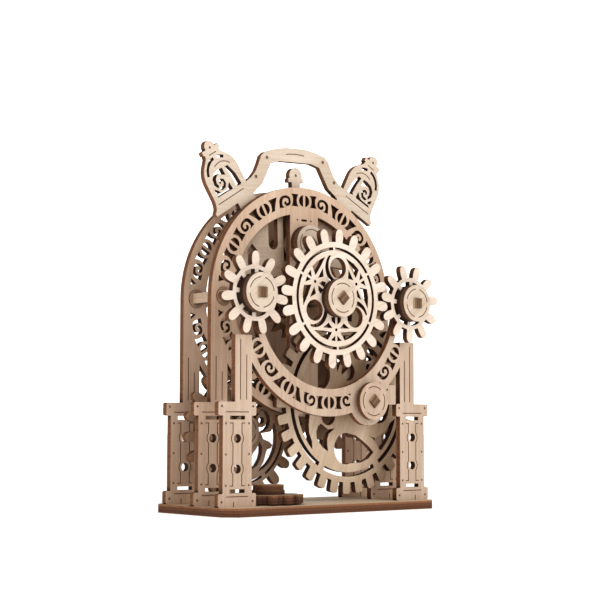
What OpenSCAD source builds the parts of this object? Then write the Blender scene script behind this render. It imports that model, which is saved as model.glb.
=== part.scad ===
// Laser-cut plywood kit of a twin-bell alarm clock: three parallel frames on a base plate, a train of
// wooden gears on square axles, and a rocking crown with two bells and a handle.
// X points right, Y points to the back, Z points up. The origin is under the middle of the base plate.

/* [Sheet] */
// Thickness of the plywood of the frames and gears
ply = 3; // [2.5:0.1:3.2]
// Thickness of the base plate
base_t = 4; // [3:0.5:5]
// Thickness of the thin discs of the hubs
disc_t = 2.5; // [2:0.1:2.5]

/* [Base] */
// Width of the base plate
base_w = 131; // [131:1:140]
// Depth of the base plate
base_d = 60.6; // [60.6:0.2:70]
// Length of the cut-off corners of the base plate
base_cut = 6; // [2:0.5:8]

/* [Frames] */
// Distance from the front face of the front frame to that of the middle frame
mid_gap = 18.6; // [18.6:0.2:20]
// Distance from the front face of the front frame to that of the rear frame
rear_gap = 40.6; // [40.6:0.2:44]
// Height of the ring's centre and of the main axle above the base plate
ring_z = 96.5; // [96.5:0.5:98]
// Outer radius of the ring
ring_ro = 55.7; // [55.7:0.1:57]
// Inner radius of the ring
ring_ri = 42.7; // [42:0.1:42.7]
// Distance from the middle to the centre of each pedestal
ped_x = 54.3; // [54:0.1:54.6]

/* [Gears] */
// Teeth on the main gear and on the rear gear
main_n = 20; // [20:1:20]
// Teeth on each side pinion
side_n = 11; // [11:1:11]
// Teeth on the lower gear
lower_n = 33; // [33:1:33]
// Teeth on the drive pinion behind the main gear
drive_n = 9; // [9:1:9]
// Distance from the main axle to each side axle
side_x = 48.4; // [48.2:0.1:48.8]
// Radius of the hub discs
hub_r = 9; // [8:0.1:9.2]
// Side of the square axles
axle_a = 4.8; // [4.4:0.1:5.6]

/* [Crown] */
// Height of the rocking axle above the base plate
rock_z = 124.3; // [124:0.1:125]
// Lean of the crown at rest, in degrees, towards the left
rock_rest = 2.4; // [0:0.1:3]
// Lean of each bell from upright, in degrees
bell_lean = 30; // [28:1:32]

/* [Hidden] */
$fn = 64;

// Lightest and darker tones of the wood
pale = [0.93, 0.84, 0.75];
wood = [0.85, 0.72, 0.58];
dark = [0.66, 0.49, 0.36];

// Front faces of the three frames, with the stand centred front to back
front_y = -(rear_gap + ply) / 2;
middle_y = front_y + mid_gap;
rear_y = front_y + rear_gap;
rear_back = rear_y + ply;

// Faces along the axles, counted from the front frame's front face
gear_y = front_y - 5.1;
hub_y = gear_y - 2 * disc_t;
knob_y = front_y - 4.4;
lower_y = front_y + 14.6;
escape_y = front_y + 29.4;
rear_gear_y = front_y + 30.8;
crown_y = middle_y + ply + 1.8;
crown_hub_y = middle_y - 0.7 - 2 * disc_t;

// Axle places, as X and height above the base plate
lower_xz = [24.9, 48.3];
rear_xz = [-27.8, 33.9];
thumb_xy = [-27, front_y + 12];

// Bearings: a round bush on the square axle turns in a hole in the frame
bush_r = 4.4;
bush_gap = 0.06;
hole_r = bush_r + bush_gap;

// Distances between axles, and the directions in which the gears meet
lower_dist = norm([lower_xz[0], ring_z - lower_xz[1]]);
lower_dir = atan2(ring_z - lower_xz[1], -lower_xz[0]);
rear_dist = norm(lower_xz - rear_xz);
rear_dir = atan2(lower_xz[1] - rear_xz[1], lower_xz[0] - rear_xz[0]);
small_n = 15;
drive_root = 8.9;
drive_tip = 13.4;
drive_hw = 1;

// Phase of the gear that meshes with one of n0 teeth and phase p0, seen from it in direction d
function mesh(p0, n0, n1, d) = d + 180 - (p0 - d) * n0 / n1 + 180 / n1;

// Gear phases in degrees, so that every pair is in mesh at rest
main_phase = 13.8;
left_phase = mesh(main_phase, main_n, side_n, 180);
right_phase = mesh(main_phase, main_n, side_n, 0);
lower_phase = 268.6;
drive_phase = mesh(lower_phase, lower_n, drive_n, lower_dir);
rear_phase = 5;
small_phase = mesh(rear_phase, main_n, small_n, rear_dir);

// ---------- helpers ----------

// Points of an arc from angle a0 to angle a1 in n steps
function arc(cx, cy, r, a0, a1, n) =
    [for (i = [0 : n]) let (a = a0 + (a1 - a0) * i / n) [cx + r * cos(a), cy + r * sin(a)]];

// The same points seen in a mirror on the line x = 0, in the opposite order
function mirrored(p) = [for (i = [len(p) - 1 : -1 : 0]) [-p[i][0], p[i][1]]];

// A flat shape drawn as X and height, stood up with its front face at y
module upright(y, t = ply) {
    translate([0, y + t, base_t])
        rotate([90, 0, 0])
            linear_extrude(t)
                children();
}

module rounded_rect(x0, y0, x1, y1, r) {
    translate([x0 + r, y0]) square([x1 - x0 - 2 * r, y1 - y0]);
    translate([x0, y0 + r]) square([x1 - x0, y1 - y0 - 2 * r]);
    for (x = [x0 + r, x1 - r], y = [y0 + r, y1 - r])
        translate([x, y]) circle(r);
}

module both_sides() {
    children();
    mirror([1, 0]) children();
}

// ---------- ring ornament ----------

orn_r = 49.15;
orn_h = 3;
oval_hw = 3.3;
oval_edge = 4.7;
curl_edge = 4.9;
curl_at = 13.9;
fork_at = 22.6;

// One side of an oval, as an upright half ellipse
module oval_half() {
    polygon([for (a = [-78 : 19.5 : 78]) [oval_hw * cos(a), 2.95 * sin(a)]]);
}

// A waisted opening between two round neighbours that are d apart; r0 and r1 are their outer radii
module waist(d, r0, r1) {
    a0 = asin(orn_h / r0);
    a1 = asin(orn_h / r1);
    polygon(concat(arc(0, 0, r0, a0, -a0, 6), arc(d, 0, r1, 180 + a1, 180 - a1, 6)));
}

// A curl that starts wide at the ring's inner side, rises, and winds round to the middle
module curl() {
    outer = [[0.7, -2.6], [4.1, -2.6], [3.9, -0.8], [3.7, 0.8], [3.2, 1.9], [2.2, 2.7], [0.9, 3.1],
        [-0.7, 3.1], [-2.1, 2.7], [-3.1, 1.8], [-3.5, 0.1], [-3.2, -1.1], [-2.3, -1.9], [-1, -2.2],
        [0.1, -1.9], [0.8, -1.1], [0.8, -0.3], [0.3, 0.3]];
    inner = [[-0.3, 0.3], [-0.5, -0.3], [-1.1, -0.9], [-1.8, -0.6], [-2.1, 0.3], [-1.9, 1.2],
        [-1.2, 1.7], [-0.4, 1.9], [0.6, 1.8], [1.5, 1.2], [1.9, 0.3], [2.1, -0.8], [1.9, -1.8]];
    polygon(concat(outer, inner));
}

// Forked opening between a curl and the next oval, which is d away towards positive x
module fork(d) {
    edge = asin(orn_h / oval_edge);
    polygon(concat([[-3.1, 3.1], [-1.9, 1.3], [-1, -0.1], [-0.2, -1.6], [0.3, -2.8]],
        arc(d, 0, oval_edge, 180 + edge, 180 - edge, 6)));
}

// The openings from one oval to the next, 30 degrees on; flip turns the order round
module ornament_step(flip) {
    mid = flip ? 30 : 0;
    dir = flip ? 1 : -1;
    place = [0, orn_r];
    rotate(-mid) mirror([flip ? 1 : 0, 0])
        translate(place) waist(orn_r * 2 * sin(curl_at / 2), oval_edge, curl_edge);
    rotate(dir * curl_at - mid) translate(place) mirror([flip ? 1 : 0, 0]) curl();
    rotate(dir * fork_at - mid) translate(place) mirror([flip ? 1 : 0, 0])
        fork(orn_r * 2 * sin((30 - fork_at) / 2));
}

module oval() {
    translate([0, orn_r]) both_sides() oval_half();
}

// Openings of the whole ring, from the step first to the step last, clockwise from the top
module ornament(first, last) {
    for (i = [first : last])
        rotate(-30 * i) {
            ornament_step(i % 2 != 0);
            oval();
        }
}

// The oval and the waist beside it at the upper ends of the front frame's half ring
module ornament_end() {
    rotate(120) {
        oval();
        translate([0, orn_r]) waist(orn_r * 2 * sin(curl_at / 2), oval_edge, curl_edge);
    }
}

// ---------- frames ----------

ped_hw = 8.15;
cap_hw = 10.7;
cap_z0 = 41;
cap_z1 = 47.2;
foot_z = 6.1;
shaft_x0 = 46.2;
front_top = 77.6;
arch_top = 70.5;
lip_r = 46.2;
lip_drop = 6.5;
bar_hw = 8.8;
tab_w = 12;
tab_gap = 0.05;
backing_r = 36;
cut_depth = 0.3;
line_w = 0.45;

module pedestal(shaft_top) {
    rounded_rect(ped_x - cap_hw, cap_z0, ped_x + cap_hw, cap_z1, 0.9);
    translate([ped_x - ped_hw, foot_z - 1]) square([2 * ped_hw, cap_z0 - foot_z + 2]);
    rounded_rect(ped_x - cap_hw, 0, ped_x + cap_hw, foot_z, 0.9);
    translate([ped_x - tab_w / 2, 0.3 - base_t]) square([tab_w, base_t]);
    translate([shaft_x0, cap_z1 - 1]) square([ring_ro - shaft_x0, shaft_top - cap_z1 + 1]);
}

module pedestal_holes() {
    for (z = [30.7, 17]) translate([ped_x, z]) circle(2);
    for (z = [39.2, 6.3]) translate([ped_x - 4.2, z]) square([8.4, 1.7]);
}

// One engraved line beside the middle of a pedestal, bulging round both holes
module pedestal_line() {
    r = 3.6;
    turn = acos(2.75 / r);
    side = concat([[2.75, 9.3]], arc(0, 17, r, -turn, turn, 6), arc(0, 30.7, r, -turn, turn, 6),
        [[2.75, 37.8]]);
    inside = [for (i = [len(side) - 1 : -1 : 0]) side[i] - [line_w, 0]];
    polygon(concat(side, inside));
    for (z = [9.3, 37.4]) translate([2.4, z]) square([1.9, line_w]);
}

module pedestal_marks(shaft_top) {
    translate([ped_x, 0]) both_sides() {
        pedestal_line();
        translate([0, 42.4]) square([6.4, line_w]);
        translate([0, 4.5]) square([6.2, line_w]);
        translate([8.8, 45.2]) circle(0.55);
        translate([8.7, 2.5]) circle(0.55);
        for (z = [37.5, 23.6, 9.7]) translate([6.5, z]) circle(0.5);
    }
    translate([ped_x + 1.8, 0]) square([line_w, 2.3]);
    translate([52.5, cap_z1 + 1]) square([line_w, shaft_top - cap_z1 - 3]);
    translate([49, cap_z1 + 1]) square([line_w, shaft_top - cap_z1 - 10]);
}

module ring_band() {
    difference() {
        circle(ring_ro, $fn = 128);
        circle(ring_ri, $fn = 128);
    }
}

module bearing(p) {
    translate(p) circle(hole_r);
}

module front_outline() {
    difference() {
        translate([0, ring_z]) intersection() {
            ring_band();
            union() {
                translate([-60, -60]) square([120, 60 - ring_z + front_top]);
                intersection() {
                    circle(lip_r, $fn = 128);
                    translate([-60, -60]) square([120, 60 - lip_drop]);
                }
            }
        }
        translate([0, ring_z]) {
            ornament(4, 7);
            both_sides() ornament_end();
        }
    }
    both_sides() pedestal(front_top);
    translate(lower_xz) circle(11.7);
    translate([lower_xz[0], lower_xz[1] - 1.5]) square([18.1, 9.5]);
    translate([33, 55]) square([6, 3.4]);
}

module front_frame() {
    color(pale) difference() {
        upright(front_y) difference() {
            front_outline();
            both_sides() pedestal_holes();
            bearing(lower_xz);
        }
        upright(front_y - 0.2, cut_depth + 0.2) {
            both_sides() pedestal_marks(front_top);
            translate([37.5, 54]) circle(0.5);
        }
    }
}

// Outline shared by the middle and rear frames
module arch_outline() {
    difference() {
        union() {
            translate([0, ring_z]) ring_band();
            both_sides() translate([shaft_x0, arch_top - 1]) square([ring_ro - shaft_x0, ring_z - arch_top + 1]);
        }
        translate([0, ring_z]) ornament(0, 11);
    }
    both_sides() {
        pedestal(arch_top);
        translate([side_x, ring_z]) circle(7.3);
    }
    translate([-bar_hw, ring_z - ring_ri - 1]) square([2 * bar_hw, ring_ri + 44.5]);
    translate(lower_xz) circle(8.5);
}

module arch_bearings() {
    both_sides() bearing([side_x, ring_z]);
    bearing([0, ring_z]);
    bearing([0, rock_z]);
    bearing(lower_xz);
}

module middle_frame() {
    color(pale) difference() {
        upright(middle_y) difference() {
            arch_outline();
            both_sides() pedestal_holes();
            arch_bearings();
            translate([-1.75, 135.6]) square([3.5, 1]);
        }
        upright(middle_y - 0.2, cut_depth + 0.2) both_sides() {
            pedestal_marks(arch_top);
            translate([4.3, 136.1]) circle(0.5);
        }
    }
}

// The rear frame is closed by a round backing about the main axle
module rear_frame() {
    color(pale) difference() {
        upright(rear_y) difference() {
            union() {
                arch_outline();
                translate([0, ring_z]) circle(backing_r);
                translate(rear_xz) circle(8);
                translate([-ped_x + 7, rear_xz[1] - 4.5]) square([ped_x - 7 + rear_xz[0], 9]);
            }
            both_sides() pedestal_holes();
            arch_bearings();
            bearing(rear_xz);
        }
        upright(rear_y - 0.2, cut_depth + 0.2) both_sides() pedestal_marks(arch_top);
    }
}

module base_outline() {
    x = base_w / 2;
    y = base_d / 2;
    half = [[x, -y + base_cut], [x, y - base_cut], [x - base_cut, y]];
    polygon(concat([[x - base_cut, -y]], half, mirrored(half), [[base_cut - x, -y]]));
}

module base_plate() {
    color(pale) difference() {
        linear_extrude(base_t) difference() {
            base_outline();
            translate(thumb_xy) circle(peg_r);
        }
        for (x = [-ped_x, ped_x], y = [front_y, middle_y, rear_y])
            translate([x - tab_w / 2 - tab_gap, y - tab_gap, -1])
                cube([tab_w + 2 * tab_gap, ply + 2 * tab_gap, base_t + 2]);
    }
}

// ---------- gears ----------

gear_root = 26.8;
gear_tip = 33.3;
tooth_hw = 2.35;

// Points of one leaf-shaped tooth with a rounded tip
tip_round = 2.6;
function leaf(root, tip, hw) = concat([[-hw * 0.88, root], [-hw, root + (tip - root) * 0.35]],
    [for (a = [180 : -22.5 : 0]) [hw * 0.97 * cos(a), tip - tip_round + tip_round * sin(a)]],
    [[hw, root + (tip - root) * 0.35], [hw * 0.88, root]]);

// Points of one square tooth with softened corners
function block(root, tip, hw) = [[-hw, root], [-hw, tip - 0.9], [-hw + 0.3, tip - 0.3], [-hw + 0.9, tip],
    [hw - 0.9, tip], [hw - 0.3, tip - 0.3], [hw, tip - 0.9], [hw, root]];

// A whole gear outline: the tooth, given along the y axis, repeated n times, clockwise from phase
function around(tooth, n, phase) = [for (k = [0 : n - 1], p = tooth)
    let (a = phase - 90 - k * 360 / n) [p[0] * cos(a) - p[1] * sin(a), p[0] * sin(a) + p[1] * cos(a)]];

module ring_slot(r0, r1, a0, a1) {
    polygon(concat(arc(0, 0, r1, a0, a1, 12), arc(0, 0, r0, a1, a0, 12)));
}

// Square hole for an axle of two strips
module axle_hole(turn) {
    rotate(turn) square(axle_a, center = true);
}

// Half of the openings between the rays of a star; u runs along the rim and v outwards
module star_half() {
    polygon([[0.6, 2.7], [0.6, 5.4], [3.4, 5]]);
    polygon([[2.6, 1.2], [5.2, 4.9], [9.2, 3.5], [13.6, 0.5], [8, 0.6]]);
    polygon([[2.4, -0.7], [8.2, -0.9], [4.7, -3.3]]);
    polygon([[0.6, -2.5], [2.7, -3.9], [3.2, -5.8], [0.6, -6.2]]);
    circle(0.75);
}

// A round moon with a thin crescent beside it, as openings; dir is the crescent's side
module moon(dir) {
    circle(5);
    rotate(dir) polygon(concat(arc(0, 0, 8, -75, 75, 14), arc(-2.1, 0, 7.8, 66, -66, 14)));
}

module medallion_pattern() {
    for (k = [0 : 5]) ring_slot(22.9, 24.3, 34.3 + 60 * k, 91.3 + 60 * k);
    for (k = [0 : 2]) {
        rotate(30.5 + 120 * k - 90) translate([0, 14.9]) both_sides() star_half();
        rotate(85 + 120 * k) translate([14.6, 0]) moon(-236);
    }
}

module small_gear_shape(n, root, tip, hw, phase, turn) {
    difference() {
        polygon(around(leaf(root, tip, hw), n, phase));
        axle_hole(turn);
    }
}

// Hub disc with a square hole; engraved discs carry four short arcs on the front
module hub_disc(p, y, r, turn, engraved = true) {
    color(pale) difference() {
        upright(y, disc_t) translate(p) difference() {
            circle(r);
            axle_hole(turn);
        }
        if (engraved) upright(y - 0.2, cut_depth + 0.2) translate(p)
            for (k = [0 : 3]) rotate(turn + 90 * k) ring_slot(0.79 * r - line_w, 0.79 * r, 7, 76);
    }
}

// One of the two strips of a square axle, from y0 to y1; side is 1 or -1
module strip(p, y0, y1, turn, side) {
    color(dark) upright(y0, y1 - y0) translate(p) rotate(turn)
        translate([-axle_a / 2, side > 0 ? 0 : -axle_a / 2]) square([axle_a, axle_a / 2]);
}

// Round bush with a square hole, centred on a frame
module bush(p, y, turn, r = bush_r) {
    color(wood) upright(y - 0.5, ply + 1) translate(p) difference() {
        circle(r);
        axle_hole(turn);
    }
}

module spacers(p, turn) {
    bush(p, middle_y, turn);
    bush(p, rear_y, turn);
}

// ---------- main shaft ----------

main_p = [0, ring_z];
end_y = rear_back + 0.8;
axle_end = end_y + disc_t + 1;

module main_gear() {
    color(pale) upright(gear_y) translate(main_p) difference() {
        polygon(around(leaf(gear_root, gear_tip, tooth_hw), main_n, main_phase));
        medallion_pattern();
        axle_hole(45);
    }
}
module main_front_disc() { hub_disc(main_p, hub_y, hub_r, 45); }
module main_inner_disc() { hub_disc(main_p, hub_y + disc_t, hub_r, 45, false); }
module main_axle_upper_strip() { strip(main_p, hub_y - 1, axle_end, 45, 1); }
module main_axle_lower_strip() { strip(main_p, hub_y - 1, axle_end, 45, -1); }
module main_drive_pinion() {
    color(wood) upright(lower_y) translate(main_p)
        small_gear_shape(drive_n, drive_root, drive_tip, drive_hw, drive_phase, 45);
}
module main_spacers() { spacers(main_p, 45); }
module main_rear_disc() { hub_disc(main_p, end_y, hub_r, 45); }

// Escape wheel with hooked teeth
escape_n = 15;
escape_tip = 17.6;
escape_root = 13.4;
module main_escape_wheel() {
    tooth = [[-2.4, escape_root], [1.2, escape_tip], [1.7, escape_tip - 0.2], [1.4, escape_root]];
    color(wood) upright(escape_y, disc_t) translate(main_p) difference() {
        polygon(around(tooth, escape_n, 0));
        for (k = [0 : 4]) ring_slot(7.6, 11.2, 72 * k + 9, 72 * k + 63);
        axle_hole(45);
    }
}

// ---------- side shafts ----------

left_p = [-side_x, ring_z];
right_p = [side_x, ring_z];

module side_pinion(p, phase) {
    color(pale) upright(gear_y) translate(p) difference() {
        small_gear_shape(side_n, 12.8, 19.2, 2.15, phase, 0);
        for (k = [0 : 7]) ring_slot(8.8, 10.9, 45 * k + 2, 45 * k + 35);
    }
}

module left_pinion() { side_pinion(left_p, left_phase); }
module left_front_disc() { hub_disc(left_p, hub_y, hub_r, 0); }
module left_inner_disc() { hub_disc(left_p, hub_y + disc_t, hub_r, 0, false); }
module left_axle_upper_strip() { strip(left_p, hub_y - 1, axle_end, 0, 1); }
module left_axle_lower_strip() { strip(left_p, hub_y - 1, axle_end, 0, -1); }
module left_spacers() { spacers(left_p, 0); }
module left_rear_disc() { hub_disc(left_p, end_y, 5, 0); }

module right_pinion() { side_pinion(right_p, right_phase); }
module right_front_disc() { hub_disc(right_p, hub_y, hub_r, 0); }
module right_inner_disc() { hub_disc(right_p, hub_y + disc_t, hub_r, 0, false); }
module right_axle_upper_strip() { strip(right_p, hub_y - 1, axle_end, 0, 1); }
module right_axle_lower_strip() { strip(right_p, hub_y - 1, axle_end, 0, -1); }
module right_spacers() { spacers(right_p, 0); }
module right_rear_disc() { hub_disc(right_p, end_y, 5, 0); }

// ---------- lower shaft ----------

// Opening shaped like an eye: round on one side, pointed on the other
module eye() {
    polygon(concat(arc(-1.4, -23, 7.7, 70, 290, 14),
        [[8.1, -30], [13.6, -28], [16.8, -24.9], [14.1, -22.4], [10.1, -19.6], [5.1, -16.6]]));
}

// Thumb-shaped opening beside the eye
module thumb_opening() {
    polygon([[-17.5, -10.8], [-19.3, -12], [-20.4, -14.8], [-20.2, -17.5], [-18.9, -19.7],
        [-16.4, -22.3], [-12.9, -24.3], [-13.4, -21.3], [-13.4, -18.3], [-12.3, -15.6],
        [-8.6, -13.2], [-13, -13.6]]);
}

// Long tapering opening along the rim, wide at the start and pointed at the end
module horn() {
    inner = [[21.8, -51.3], [24.1, -48.2], [27.5, -47.5], [31.5, -48.8]];
    outer = [for (a = [-47.5 : 5.5 : -14.5]) [32.6, a]];
    back = [[30.1, -20.1], [29.2, -28.4], [27.6, -35.8], [25.5, -44.6]];
    polygon([for (p = concat(inner, outer, back)) [p[0] * cos(p[1]), p[0] * sin(p[1])]]);
}

module lower_gear() {
    color(pale) upright(lower_y) translate(lower_xz) difference() {
        polygon(around(block(39.4, 45, tooth_hw), lower_n, lower_phase));
        for (k = [0 : 5]) ring_slot(34.6, 36.7, 4 + 60 * k, 58 + 60 * k);
        for (k = [0 : 2]) rotate(120 * k) {
            eye();
            thumb_opening();
            horn();
            translate([0.1, 14.7]) circle(4.4);
        }
        axle_hole(45);
    }
}
module lower_knob_disc() { hub_disc(lower_xz, knob_y, 9.1, 45); }
module lower_axle_upper_strip() { strip(lower_xz, knob_y - 1, axle_end, 45, 1); }
module lower_axle_lower_strip() { strip(lower_xz, knob_y - 1, axle_end, 45, -1); }
module lower_pinion() {
    color(wood) upright(rear_gear_y) translate(lower_xz)
        small_gear_shape(small_n, 19, 25.4, 2.15, small_phase, 45);
}
module lower_spacers() {
    bush(lower_xz, front_y, 45);
    spacers(lower_xz, 45);
}
module lower_rear_disc() { hub_disc(lower_xz, end_y, 7, 45); }

// ---------- rear shaft ----------

// Points given as radius and angle
module polar(p) {
    polygon([for (q = p) [q[0] * cos(q[1]), q[0] * sin(q[1])]]);
}

// A round opening with a small ring left standing in it, on one bridge
module target() {
    translate([11.3, 5.1]) rotate(204) {
        ring_slot(3.4, 5.5, 25, 335);
        circle(1.7);
    }
}

// Long opening along the rim, with a wide gate at its upper end
module gate() {
    outer = [for (a = [-64 : 9.5 : 12]) [22.2 - 2.6 * pow((a + 40) / 52, 2), a]];
    inner = [[18.9, 9], [17.4, -1], [11.3, -6], [13, -17.5], [17, -17.8], [19.4, -20.5], [19, -26],
        [17.3, -31], [17.8, -38], [19.5, -49]];
    polar(concat(outer, inner));
}

// Sickle-shaped opening inside the gate
module sickle() {
    polar([[11.4, -26], [14.2, -33], [15.7, -41], [17.3, -51], [18.7, -62], [19.4, -74], [17.3, -77],
        [14.4, -70], [12.4, -60], [12, -48], [11.6, -36]]);
}

module rear_gear() {
    color(pale) upright(rear_gear_y) translate(rear_xz) difference() {
        polygon(around(leaf(gear_root, gear_tip, tooth_hw), main_n, rear_phase));
        for (k = [0 : 2]) rotate(120 * k) {
            target();
            gate();
            sickle();
        }
        for (k = [0 : 5]) ring_slot(24, 25.2, 60 * k + 4, 60 * k + 58);
        axle_hole(0);
    }
}
module rear_gear_disc() { hub_disc(rear_xz, rear_gear_y - disc_t, 8, 0); }
module rear_axle_upper_strip() { strip(rear_xz, rear_gear_y - disc_t - 1, axle_end, 0, 1); }
module rear_axle_lower_strip() { strip(rear_xz, rear_gear_y - disc_t - 1, axle_end, 0, -1); }
module rear_bush() { bush(rear_xz, rear_y, 0); }
module rear_stop_disc() { hub_disc(rear_xz, end_y, 7, 0); }

// ---------- crown ----------

crown_p = [0, rock_z];
bell_at = [37.9, 20.2];

module handle() {
    outer = [[6, 47.8], [13, 46.6], [19, 44.8], [21.3, 42.8], [23, 38.7], [24.7, 35.3],
        [27.6, 32], [33.5, 28]];
    inner = [[30.5, 22.8], [25.2, 25.7], [21, 29], [18, 34.5], [15.4, 39.3], [10, 40.9]];
    polygon(concat(mirrored(outer), outer, inner, mirrored(inner)));
}

// Bell, drawn upright over its base bar
module bell() {
    side = [[13.4, -1.9], [13.4, -0.3], [12.3, 0.5], [11.5, 1.6], [11.1, 3], [10.8, 4.5], [10.8, 14],
        [10.5, 16], [9.9, 18], [8.8, 20], [7, 22], [5, 24], [4.6, 25.7], [5.4, 25.7], [5.4, 27.8]];
    polygon(concat(side, mirrored(side)));
    translate([0, 28.4]) circle(2.9);
}

// Openings of a bell; u is positive on the outer side
module bell_holes() {
    translate([0, 14.5]) {
        ring_slot(7.5, 8.9, 12, 84);
        ring_slot(7.4, 8.8, 100, 128);
    }
    polygon([[-3, 16.4], [-5, 16.3], [-7.2, 11], [-7.9, 5.4], [-6.9, 4.9], [-4, 5.6], [-4.6, 6.5],
        [-4.2, 11]]);
    polygon([[1.4, 16.9], [-1.3, 16.8], [-1.4, 12.9], [0.5, 13.9], [1.8, 15], [3.4, 14.7], [4.8, 13.4],
        [5.3, 11.5], [4.7, 9.7], [5.7, 9.1], [7.1, 11.3], [6.7, 14.2], [4.7, 16.2]]);
    polygon([[3.4, 12.3], [2.1, 12.7], [0.6, 11.7], [0.2, 9.6], [1.6, 7.7], [3.8, 7.4], [5.1, 8.3],
        [4, 9], [2.5, 8.9], [1.5, 10], [1.8, 11.2], [2.7, 11.2], [3.2, 10.2], [4, 11.2]]);
    polygon([[8.4, 5.5], [7.3, 6.5], [1.8, 6.4], [0.4, 7.1], [-1.5, 9.1], [-1.9, 5.2], [1, 5.4]]);
    polygon([[8.2, 9.8], [8.2, 7.6], [6.6, 7.1], [5.4, 6.9], [6.3, 8.2]]);
}

module bell_marks() {
    translate([-1, 12.5]) ring_slot(6.9, 6.9 + line_w, 62, 145);
    translate([-7.7, 2.3]) square([17.2, line_w]);
    translate([-2.3, 24.6]) square([4.6, line_w]);
    translate([0, 27.9]) circle(0.6);
}

module at_bells() {
    both_sides() translate(bell_at) rotate(-bell_lean) children();
}

module crown_holes() {
    at_bells() bell_holes();
    axle_hole(45);
    translate([-15.3, 0.5]) circle(2.9);
    translate([-18.2, 0.5]) square([5.8, 12.5]);
    polygon([[-31.3, -10.5], [-25.4, -10.5], [-25.4, -3], [-28.3, 0], [-31.3, -3]]);
}

module crown_outline() {
    handle();
    at_bells() {
        bell();
        translate([-12, -8.5]) square([11, 7]);
    }
    translate([0, ring_z - rock_z]) ring_slot(43.5, 55.7, 32, 148);
    translate([-6.5, 0]) square([13, 24]);
    circle(8.6);
    translate([-2.6, 22]) square([5.2, 9.5]);
    translate([-4.7, 31]) square([9.4, 2]);
    translate([0, 34.3]) circle(4);
    polygon([[-43, 6], [-43, -20], [-34, -24], [-16, -24], [-9, -14], [-9, 18], [-26, 14]]);
    polygon([[0, 19], [26, 14], [33, 4], [31, -11], [0, -7.4]]);
}

module crown_marks() {
    at_bells() bell_marks();
    both_sides() {
        translate([17.7, 42.2]) circle(0.85);
        translate([24.8, 32.4]) circle(0.85);
    }
    translate([0, 4]) ring_slot(40.7, 40.7 + line_w, 82, 98);
    translate([0, 34.4]) circle(0.7);
}

module crown_place() {
    translate(crown_p) rotate(rock_rest) children();
}

module crown_plate() {
    color(pale) difference() {
        upright(crown_y) crown_place() difference() {
            crown_outline();
            crown_holes();
        }
        upright(crown_y - 0.2, cut_depth + 0.2) crown_place() crown_marks();
    }
}
module crown_front_disc() { hub_disc(crown_p, crown_hub_y, hub_r, 45 + rock_rest); }
module crown_inner_disc() { hub_disc(crown_p, crown_hub_y + disc_t, hub_r, 45 + rock_rest, false); }
module crown_axle_left_strip() { strip(crown_p, crown_hub_y - 1, axle_end, 45 + rock_rest, 1); }
module crown_axle_right_strip() { strip(crown_p, crown_hub_y - 1, axle_end, 45 + rock_rest, -1); }
module crown_spacers() { spacers(crown_p, 45 + rock_rest); }
module crown_rear_disc() { hub_disc(crown_p, end_y, 7, 45 + rock_rest); }

// Anchor that rocks with the crown; its two pallets stay just outside the escape wheel's teeth
module crown_anchor() {
    dz = ring_z - rock_z;
    pallet = [[16.2, -10.4], [14.6, -14.6], [13.3, -13.4]];
    arm = concat(arc(0, dz, 24.5, 132, 48, 10), pallet, arc(0, dz, 21, 52, 128, 10), mirrored(pallet));
    color(wood) upright(escape_y, disc_t) crown_place() difference() {
        union() {
            polygon(arm);
            circle(6);
        }
        axle_hole(45);
    }
}

// ---------- thumb wheel on the base ----------

peg_r = 2.5;
wheel_r = 16.5;
wheel_lobes = 12;
wheel_z = 0.6;
wheel_t = 4;
flange_t = 2;

module thumb_wheel() {
    lobe_r = 2.9;
    color(wood) translate([thumb_xy[0], thumb_xy[1], base_t + wheel_z]) linear_extrude(wheel_t) difference() {
        union() {
            circle(wheel_r - 2);
            for (k = [0 : wheel_lobes - 1]) rotate(30 * k) translate([wheel_r - lobe_r, 0]) circle(lobe_r);
        }
        circle(peg_r + bush_gap);
    }
}

module thumb_ring(r, z, t) {
    color(pale) translate([thumb_xy[0], thumb_xy[1], base_t + z]) linear_extrude(t) difference() {
        circle(r);
        circle(peg_r + bush_gap);
    }
}

module thumb_wheel_flange() { thumb_ring(7.7, wheel_z + wheel_t, flange_t); }
module thumb_wheel_cap() { thumb_ring(7.2, wheel_z + wheel_t + flange_t, disc_t); }
module thumb_wheel_peg() {
    color(dark) translate([thumb_xy[0], thumb_xy[1], 0])
        cylinder(r = peg_r, h = base_t + wheel_z + wheel_t + flange_t + disc_t);
}

base_plate();
front_frame();
middle_frame();
rear_frame();
crown_plate();
crown_axle_left_strip();
crown_axle_right_strip();
crown_front_disc();
crown_inner_disc();
crown_rear_disc();
crown_anchor();
crown_spacers();
main_gear();
main_front_disc();
main_inner_disc();
main_axle_upper_strip();
main_axle_lower_strip();
main_drive_pinion();
main_escape_wheel();
main_spacers();
main_rear_disc();
left_pinion();
left_front_disc();
left_inner_disc();
left_axle_upper_strip();
left_axle_lower_strip();
left_spacers();
left_rear_disc();
right_pinion();
right_front_disc();
right_inner_disc();
right_axle_upper_strip();
right_axle_lower_strip();
right_spacers();
right_rear_disc();
lower_gear();
lower_knob_disc();
lower_axle_upper_strip();
lower_axle_lower_strip();
lower_pinion();
lower_spacers();
lower_rear_disc();
rear_gear();
rear_gear_disc();
rear_axle_upper_strip();
rear_axle_lower_strip();
rear_bush();
rear_stop_disc();
thumb_wheel();
thumb_wheel_flange();
thumb_wheel_cap();
thumb_wheel_peg();
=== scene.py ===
"""Looks of the plywood clockwork model: laser-cut birch ply with burnt edges and engraved lines."""

import math
import random

import bpy
from mathutils import Matrix, Vector


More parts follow.
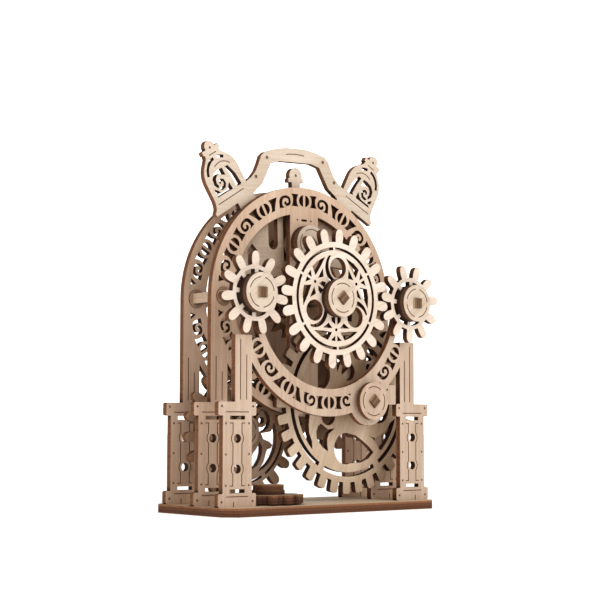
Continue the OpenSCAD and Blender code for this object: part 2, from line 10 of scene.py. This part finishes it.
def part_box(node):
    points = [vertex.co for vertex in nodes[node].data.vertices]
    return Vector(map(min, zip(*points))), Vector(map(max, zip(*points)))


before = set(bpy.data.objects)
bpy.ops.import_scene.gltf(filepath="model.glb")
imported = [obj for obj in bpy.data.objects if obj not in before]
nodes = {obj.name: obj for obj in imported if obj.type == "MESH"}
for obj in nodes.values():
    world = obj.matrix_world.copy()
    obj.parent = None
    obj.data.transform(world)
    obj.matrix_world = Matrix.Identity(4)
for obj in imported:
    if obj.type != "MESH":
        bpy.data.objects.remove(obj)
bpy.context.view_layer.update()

# ---------- colours, linear ----------

# Faces of the sheets
FACE = (0.69, 0.50, 0.365)
BRIGHT = (0.83, 0.71, 0.60)
FRONT = (0.60, 0.455, 0.345)
HUB = (0.70, 0.59, 0.475)
CROWN = (0.69, 0.575, 0.46)
LOWER = (0.68, 0.54, 0.40)
# A darker copy of the veneer, painted shade on the thumb wheel
SHADE = (0.54, 0.36, 0.235)
# A darker copy still, painted deep shade on the anchor and escape wheel inside the frames
DEEP_SHADE_FACE = (0.42, 0.265, 0.16)
AXLE = (0.60, 0.46, 0.335)
# The base plate's faces, painted lighter as lit from above
LIT_BASE_FACE = (0.92, 0.76, 0.56)

# Edges burnt by the laser
EDGE = (0.195, 0.080, 0.035)
GEAR_EDGE = (0.150, 0.060, 0.026)
DISC_EDGE = (0.150, 0.070, 0.034)
# The inner discs' cut edges, darker than the front discs' as painted shade deep in the hubs
SHADED_DISC_EDGE = (0.075, 0.030, 0.013)
AXLE_END = (0.150, 0.080, 0.040)
BASE_EDGE = (0.27, 0.108, 0.046)

# Engraved lines, and the scorched rim of each face
LINE = (0.16, 0.075, 0.035)
SCORCH = (0.30, 0.16, 0.08)

# Factors on a face's colour, in the dark and the light grain, and the painted shade where other pieces close
# it in
DARK_GRAIN = (0.74, 0.66, 0.58, 1.0)
LIGHT_GRAIN = (1.08, 1.09, 1.11, 1.0)
ENCLOSURE_SHADE = (0.42, 0.31, 0.22, 1.0)

# Factors on an edge's colour, in glue lines, in the outer plies and in narrow gaps. Soot and painted shade
# give the last one.
CHAR = (0.42, 0.36, 0.33, 1.0)
WARM = (1.7, 1.95, 2.1, 1.0)
SOOT_AND_SHADE = (0.17, 0.13, 0.12, 1.0)

# How strongly the painted shade darkens closed-in faces on the frames, and on all other pieces
FRAME_SHADE = 0.12
PIECE_SHADE = 1.0

# ---------- grain, in metres and cycles per metre ----------

FIBRES = (30.0, 900.0, 900.0)
BANDS = (7.0, 170.0, 170.0)
PORES = (170.0, 2400.0, 2400.0)
CLOUDS = 38.0
STREAKS = (1500.0, 260.0, 1500.0)
# Reach of the painted shade on closed-in faces
ENCLOSURE_SHADE_REACH = 0.045
# Soot and painted shade in narrow gaps reach this far
SOOT_AND_SHADE_REACH = 0.006
RIM = 0.00028
BUMP_DEPTH = 0.00012
BUMP_STRENGTH = 0.25

# ---------- directions across the sheets ----------

UPRIGHT = (0.0, 1.0, 0.0)
FLAT = (0.0, 0.0, 1.0)
SIDEWAYS = (1.0, 0.0, 0.0)


def strip_sheet(turn):
    """Direction across the two strips of a square axle that is turned by so many degrees."""
    return (-math.sin(math.radians(turn)), 0.0, math.cos(math.radians(turn)))


# Thickness of one strip of a square axle, and the directions of the axles that stand on a corner
STRIP = 0.0024
STRIPS = {"crown": strip_sheet(47.4), "main": strip_sheet(45.0), "lower": strip_sheet(45.0)}


# ---------- the plywood, as one node group ----------

class Tree:
    """Short names for making and linking shader nodes."""

    def __init__(self, tree):
        self.tree = tree

    def node(self, kind, **settings):
        made = self.tree.nodes.new(kind)
        for name, value in settings.items():
            setattr(made, name, value)
        return made

    def link(self, a, b):
        self.tree.links.new(a, b)

    def put(self, socket, value):
        if isinstance(value, bpy.types.NodeSocket):
            self.link(value, socket)
        else:
            socket.default_value = value

    def math(self, operation, a, b=0.0, clamp=False):
        made = self.node("ShaderNodeMath", operation=operation, use_clamp=clamp)
        self.put(made.inputs[0], a)
        self.put(made.inputs[1], b)
        return made.outputs[0]

    def dot(self, a, b):
        made = self.node("ShaderNodeVectorMath", operation="DOT_PRODUCT")
        self.put(made.inputs[0], a)
        self.put(made.inputs[1], b)
        return made.outputs["Value"]

    def scaled(self, vector, scale):
        made = self.node("ShaderNodeVectorMath", operation="MULTIPLY")
        self.put(made.inputs[0], vector)
        self.put(made.inputs[1], scale)
        return made.outputs[0]

    def noise(self, vector, scale, detail=3.0, roughness=0.55):
        made = self.node("ShaderNodeTexNoise")
        self.put(made.inputs["Vector"], vector)
        made.inputs["Scale"].default_value = scale
        made.inputs["Detail"].default_value = detail
        made.inputs["Roughness"].default_value = roughness
        return made.outputs["Fac"]

    def step(self, value, low, high, to_low=0.0, to_high=1.0):
        made = self.node("ShaderNodeMapRange")
        self.put(made.inputs["Value"], value)
        made.inputs["From Min"].default_value = low
        made.inputs["From Max"].default_value = high
        made.inputs["To Min"].default_value = to_low
        made.inputs["To Max"].default_value = to_high
        return made.outputs["Result"]

    def mix(self, factor, a, b, blend="MIX"):
        made = self.node("ShaderNodeMix", data_type="RGBA", blend_type=blend)
        self.put(made.inputs["Factor"], factor)
        self.put(made.inputs["A"], a)
        self.put(made.inputs["B"], b)
        return made.outputs["Result"]


def grain_place(t, given, coords):
    """Object coordinates, turned to a sheet's grain and moved to its own stretch of wood."""
    turned = t.node("ShaderNodeVectorRotate", rotation_type="AXIS_ANGLE")
    t.put(turned.inputs["Vector"], coords)
    t.put(turned.inputs["Axis"], given["Sheet"])
    t.put(turned.inputs["Angle"], given["Grain"])
    moved = t.node("ShaderNodeVectorMath", operation="ADD")
    t.put(moved.inputs[0], turned.outputs[0])
    t.put(moved.inputs[1], given["Offset"])
    return moved.outputs[0]


def enclosure(t, reach, samples):
    """How open the surroundings are within reach: 1 in the open, less between close surfaces."""
    made = t.node("ShaderNodeAmbientOcclusion", samples=samples)
    made.inputs["Distance"].default_value = reach
    return made.outputs["AO"]


def veneer_color(t, given, place, fibres, pores):
    """Colour of a face: grain, clouds and pores, with painted shade where other pieces close it in."""
    bands = t.noise(t.scaled(place, BANDS), 1.0, 2.0)
    clouds = t.noise(place, CLOUDS, 2.0)
    tone = t.math("ADD", t.math("MULTIPLY", fibres, 0.45), t.math("MULTIPLY", bands, 0.35))
    tone = t.math("ADD", tone, t.math("MULTIPLY", clouds, 0.35))
    darker = t.mix(1.0, given["Face"], DARK_GRAIN, "MULTIPLY")
    lighter = t.mix(1.0, given["Face"], LIGHT_GRAIN, "MULTIPLY")
    veneer = t.mix(t.step(tone, 0.38, 0.78), darker, lighter)
    veneer = t.mix(t.math("MULTIPLY", t.step(pores, 0.60, 0.70), 0.28), veneer, darker)
    # Painted shade: the face darkens where other pieces close it in.
    shaded_veneer = t.mix(1.0, veneer, ENCLOSURE_SHADE, "MULTIPLY")
    openness = enclosure(t, ENCLOSURE_SHADE_REACH, 8)
    shade_amount = t.math("MULTIPLY", t.step(openness, 0.25, 0.68, 1.0, 0.0), given["Shade"])
    return t.mix(shade_amount, veneer, shaded_veneer)


def cut_color(t, given, coords, depth):
    """Colour of a cut edge: light outer plies, dark glue lines and streaks. Soot and painted shade darken it
    in narrow gaps.
    """
    streaks = t.noise(t.scaled(coords, STREAKS), 1.0, 2.0)
    char = t.mix(1.0, given["Edge"], CHAR, "MULTIPLY")
    warm = t.mix(1.0, given["Edge"], WARM, "MULTIPLY")
    from_middle = t.math("ABSOLUTE", t.math("SUBTRACT", depth, 0.5))
    from_glue = t.math("ABSOLUTE", t.math("SUBTRACT", from_middle, 0.17))
    glue = t.math("SUBTRACT", 1.0, t.step(from_glue, 0.02, 0.07))
    outer = t.step(from_middle, 0.18, 0.34)
    cut = t.mix(t.math("MULTIPLY", outer, 0.55), given["Edge"], warm)
    cut = t.mix(t.math("MULTIPLY", glue, 0.75), cut, char)
    cut = t.mix(t.step(streaks, 0.42, 0.75, 0.0, 0.6), cut, char)
    # Soot and painted shade darken the cut edge in narrow gaps.
    soot_and_shade = t.mix(1.0, given["Edge"], SOOT_AND_SHADE, "MULTIPLY")
    return t.mix(t.step(enclosure(t, SOOT_AND_SHADE_REACH, 6), 0.60, 0.98, 0.95, 0.0), cut, soot_and_shade)


def engraved(t, color, depth, face):
    """The same colour with brown lines where the face lies a little under the sheet's front."""
    groove = t.math("MULTIPLY", t.step(depth, 0.03, 0.05), t.step(depth, 0.22, 0.26, 1.0, 0.0))
    groove = t.math("MULTIPLY", groove, face)
    return t.mix(t.math("MULTIPLY", groove, 0.9), color, (*LINE, 1.0))


def scorched(t, color, normal, face):
    """The same colour with a brown rim along each cut."""
    rounded = t.node("ShaderNodeBevel", samples=4)
    rounded.inputs["Radius"].default_value = RIM
    turn = t.math("SUBTRACT", 1.0, t.dot(rounded.outputs[0], normal))
    scorch = t.math("MULTIPLY", t.step(turn, 0.02, 0.28), face)
    return t.mix(t.math("MULTIPLY", scorch, 0.55), color, (*SCORCH, 1.0))


def plywood_group():
    """Pale veneer with grain on the faces, burnt plies on the cut edges, brown engraved lines."""
    group = bpy.data.node_groups.new("plywood", "ShaderNodeTree")
    for name, kind in (
        ("Face", "NodeSocketColor"),
        ("Edge", "NodeSocketColor"),
        ("Sheet", "NodeSocketVector"),
        ("Grain", "NodeSocketFloat"),
        ("Middle", "NodeSocketFloat"),
        ("Thickness", "NodeSocketFloat"),
        ("Offset", "NodeSocketVector"),
        ("Shade", "NodeSocketFloat"),
    ):
        group.interface.new_socket(name, in_out="INPUT", socket_type=kind)
    for name, kind in (
        ("Color", "NodeSocketColor"),
        ("Roughness", "NodeSocketFloat"),
        ("Height", "NodeSocketFloat"),
    ):
        group.interface.new_socket(name, in_out="OUTPUT", socket_type=kind)
    t = Tree(group)
    given = t.node("NodeGroupInput").outputs
    result = t.node("NodeGroupOutput").inputs
    coords = t.node("ShaderNodeTexCoord").outputs["Object"]
    normal = t.node("ShaderNodeNewGeometry").outputs["True Normal"]

    face = t.step(t.math("ABSOLUTE", t.dot(normal, given["Sheet"])), 0.45, 0.55)
    along = t.math("SUBTRACT", t.dot(coords, given["Sheet"]), given["Middle"])
    depth = t.math("ADD", t.math("DIVIDE", along, given["Thickness"]), 0.5)
    place = grain_place(t, given, coords)
    fibres = t.noise(t.scaled(place, FIBRES), 1.0, 4.0)
    pores = t.noise(t.scaled(place, PORES), 1.0, 1.0)

    veneer = veneer_color(t, given, place, fibres, pores)
    color = t.mix(face, cut_color(t, given, coords, depth), veneer)
    color = engraved(t, color, depth, face)
    t.put(result["Color"], scorched(t, color, normal, face))
    t.put(result["Roughness"], t.step(face, 0.0, 1.0, 0.82, 0.62))
    height = t.math("ADD", t.math("MULTIPLY", fibres, 0.6), t.math("MULTIPLY", pores, -0.4))
    t.put(result["Height"], height)
    return group


PLYWOOD = plywood_group()


def plywood(name, box, face, edge=EDGE, sheet=UPRIGHT, grain=90.0, seed=0):
    """One sheet's material: its own stretch of the grain, and a tone that differs a little."""
    low, high = Vector(box[0]), Vector(box[1])
    normal = Vector(sheet)
    thickness = (high - low).dot(normal) if sheet in (UPRIGHT, FLAT, SIDEWAYS) else STRIP
    chance = random.Random(seed)
    tone = 1.0 + chance.uniform(-0.035, 0.035)
    material = bpy.data.materials.new(name)
    material.use_nodes = True
    t = Tree(material.node_tree)
    shader = material.node_tree.nodes["Principled BSDF"]
    sheetwork = t.node("ShaderNodeGroup", node_tree=PLYWOOD)
    sheetwork.inputs["Face"].default_value = (*[c * tone for c in face], 1.0)
    sheetwork.inputs["Edge"].default_value = (*edge, 1.0)
    sheetwork.inputs["Sheet"].default_value = sheet
    sheetwork.inputs["Grain"].default_value = math.radians(grain + chance.uniform(-4.0, 4.0))
    sheetwork.inputs["Middle"].default_value = ((low + high) / 2.0).dot(normal)
    sheetwork.inputs["Thickness"].default_value = thickness
    sheetwork.inputs["Offset"].default_value = [chance.uniform(0.0, 3.0) for _ in range(3)]
    # Strength of the painted shade on closed-in faces
    sheetwork.inputs["Shade"].default_value = FRAME_SHADE if name.endswith("_frame") else PIECE_SHADE
    bump = t.node("ShaderNodeBump")
    bump.inputs["Strength"].default_value = BUMP_STRENGTH
    bump.inputs["Distance"].default_value = BUMP_DEPTH
    t.link(sheetwork.outputs["Height"], bump.inputs["Height"])
    t.link(sheetwork.outputs["Color"], shader.inputs["Base Color"])
    t.link(sheetwork.outputs["Roughness"], shader.inputs["Roughness"])
    t.link(bump.outputs[0], shader.inputs["Normal"])
    shader.inputs["Specular IOR Level"].default_value = 0.25
    return material


def look_of(name):
    """Face colour, edge colour, sheet direction and grain of a node, by what it is."""
    # The thumb wheel is painted in shade.
    if name.startswith("thumb_wheel") and name != "thumb_wheel_peg":
        return SHADE, EDGE, FLAT, 0.0
    # The base plate is painted lighter for the light that falls on its top.
    if name == "base_plate":
        return LIT_BASE_FACE, BASE_EDGE, FLAT, 0.0
    if "strip" in name:
        return AXLE, AXLE_END, STRIPS.get(name.split("_")[0], SIDEWAYS), 90.0
    # The thumb wheel's peg is painted in shade.
    if name == "thumb_wheel_peg":
        return SHADE, EDGE, FLAT, 45.0
    if name == "front_frame":
        return FRONT, EDGE, UPRIGHT, 90.0
    if name in ("middle_frame", "rear_frame"):
        return FACE, EDGE, UPRIGHT, 90.0
    if name == "crown_plate":
        return CROWN, EDGE, UPRIGHT, 0.0
    if name in ("main_gear", "left_pinion", "right_pinion"):
        return BRIGHT, GEAR_EDGE, UPRIGHT, 20.0
    if name == "lower_gear":
        return LOWER, GEAR_EDGE, UPRIGHT, 70.0
    if name.endswith("front_disc"):
        return HUB, DISC_EDGE, UPRIGHT, 35.0
    # The inner discs' cut edges are painted in shade.
    if name.endswith("inner_disc"):
        return HUB, SHADED_DISC_EDGE, UPRIGHT, 35.0
    # The anchor and escape wheel are painted in deep shade.
    if "anchor" in name or "escape" in name:
        return DEEP_SHADE_FACE, EDGE, UPRIGHT, 0.0
    return FRONT, EDGE, UPRIGHT, 70.0


for number, name in enumerate(sorted(nodes)):
    face, edge, sheet, grain = look_of(name)
    material = plywood("ply_" + name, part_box(name), face, edge, sheet, grain, seed=100 + number)
    node = nodes[name]
    if not node.data.materials:
        node.data.materials.append(material)
    for index in range(len(node.material_slots)):
        node.material_slots[index].material = material

# ---------- floor, light and camera ----------

WHITE = (1.0, 1.0, 1.0, 1.0)
FLOOR_R = 6.0
FLOOR_GAP = 0.0002
FLOOR_PLACE = (0.0, 0.0, -FLOOR_GAP)
bpy.ops.mesh.primitive_circle_add(vertices=96, radius=FLOOR_R, fill_type="NGON", location=FLOOR_PLACE)
floor = bpy.context.object
floor.name = "floor"
white = bpy.data.materials.new("floor_white")
white.use_nodes = True
white_shader = white.node_tree.nodes["Principled BSDF"]
white_shader.inputs["Base Color"].default_value = (0.94, 0.94, 0.94, 1.0)
white_shader.inputs["Emission Color"].default_value = WHITE
white_shader.inputs["Emission Strength"].default_value = 0.65
white_shader.inputs["Roughness"].default_value = 0.9
white_shader.inputs["Specular IOR Level"].default_value = 0.1
floor.data.materials.append(white)

# The backdrop only shows as white behind the model; it gives no light.
BACKDROP_R = 0.9 * FLOOR_R
bpy.ops.mesh.primitive_uv_sphere_add(segments=48, ring_count=24, radius=BACKDROP_R, location=(0.0, 0.0, 0.0))
backdrop = bpy.context.object
backdrop.name = "backdrop"
backdrop.visible_diffuse = False
backdrop.visible_glossy = False
backdrop.visible_transmission = False
backdrop.visible_shadow = False
paper = bpy.data.materials.new("backdrop_white")
paper.use_nodes = True
paper_shader = paper.node_tree.nodes["Principled BSDF"]
paper_shader.inputs["Base Color"].default_value = WHITE
paper_shader.inputs["Emission Color"].default_value = WHITE
paper_shader.inputs["Emission Strength"].default_value = 1.2
backdrop.data.materials.append(paper)

world = bpy.data.worlds.new("studio")
world.use_nodes = True
sky = world.node_tree.nodes["Background"]
sky.inputs["Color"].default_value = WHITE
sky.inputs["Strength"].default_value = 0.45
bpy.context.scene.world = world

MIDDLE = (0.0, 0.0, 0.09)
LAMP_COLOR = (1.0, 0.99, 0.97)


def area_light(name, place, size, power):
    """Soft square light that points at the middle of the model."""
    data = bpy.data.lights.new(name, "AREA")
    data.shape = "SQUARE"
    data.size = size
    data.energy = power
    data.color = LAMP_COLOR
    lamp = bpy.data.objects.new(name, data)
    lamp.location = place
    lamp.rotation_euler = (Vector(MIDDLE) - Vector(place)).to_track_quat("-Z", "Y").to_euler()
    bpy.context.scene.collection.objects.link(lamp)


area_light("key", (0.3, -1.0, 0.7), 0.6, 5.3)
area_light("fill", (-0.95, -0.75, 0.35), 0.7, 3.5)

CAMERA_PLACE = Vector((-0.4658, -0.5624, 0.0409))
CAMERA_YAW = math.radians(39.64)
CAMERA_PITCH = math.radians(4.74)
CAMERA_ROLL = math.radians(0.09)
camera_data = bpy.data.cameras.new("camera")
camera_data.sensor_width = 36.0
camera_data.lens = 90.25
camera_data.clip_start = 0.01
camera_data.dof.use_dof = False
camera = bpy.data.objects.new("camera", camera_data)
bpy.context.scene.collection.objects.link(camera)
ahead = Vector((
    math.sin(CAMERA_YAW) * math.cos(CAMERA_PITCH),
    math.cos(CAMERA_YAW) * math.cos(CAMERA_PITCH),
    math.sin(CAMERA_PITCH),
))
across = Vector((math.cos(CAMERA_YAW), -math.sin(CAMERA_YAW), 0.0))
above = across.cross(ahead)
right = across * math.cos(CAMERA_ROLL) + above * math.sin(CAMERA_ROLL)
up = above * math.cos(CAMERA_ROLL) - across * math.sin(CAMERA_ROLL)
turn = Matrix((right, up, -ahead)).transposed().to_4x4()
camera.matrix_world = Matrix.Translation(CAMERA_PLACE) @ turn
bpy.context.scene.camera = camera

bpy.context.scene.view_settings.view_transform = "Standard"
bpy.context.scene.view_settings.look = "None"
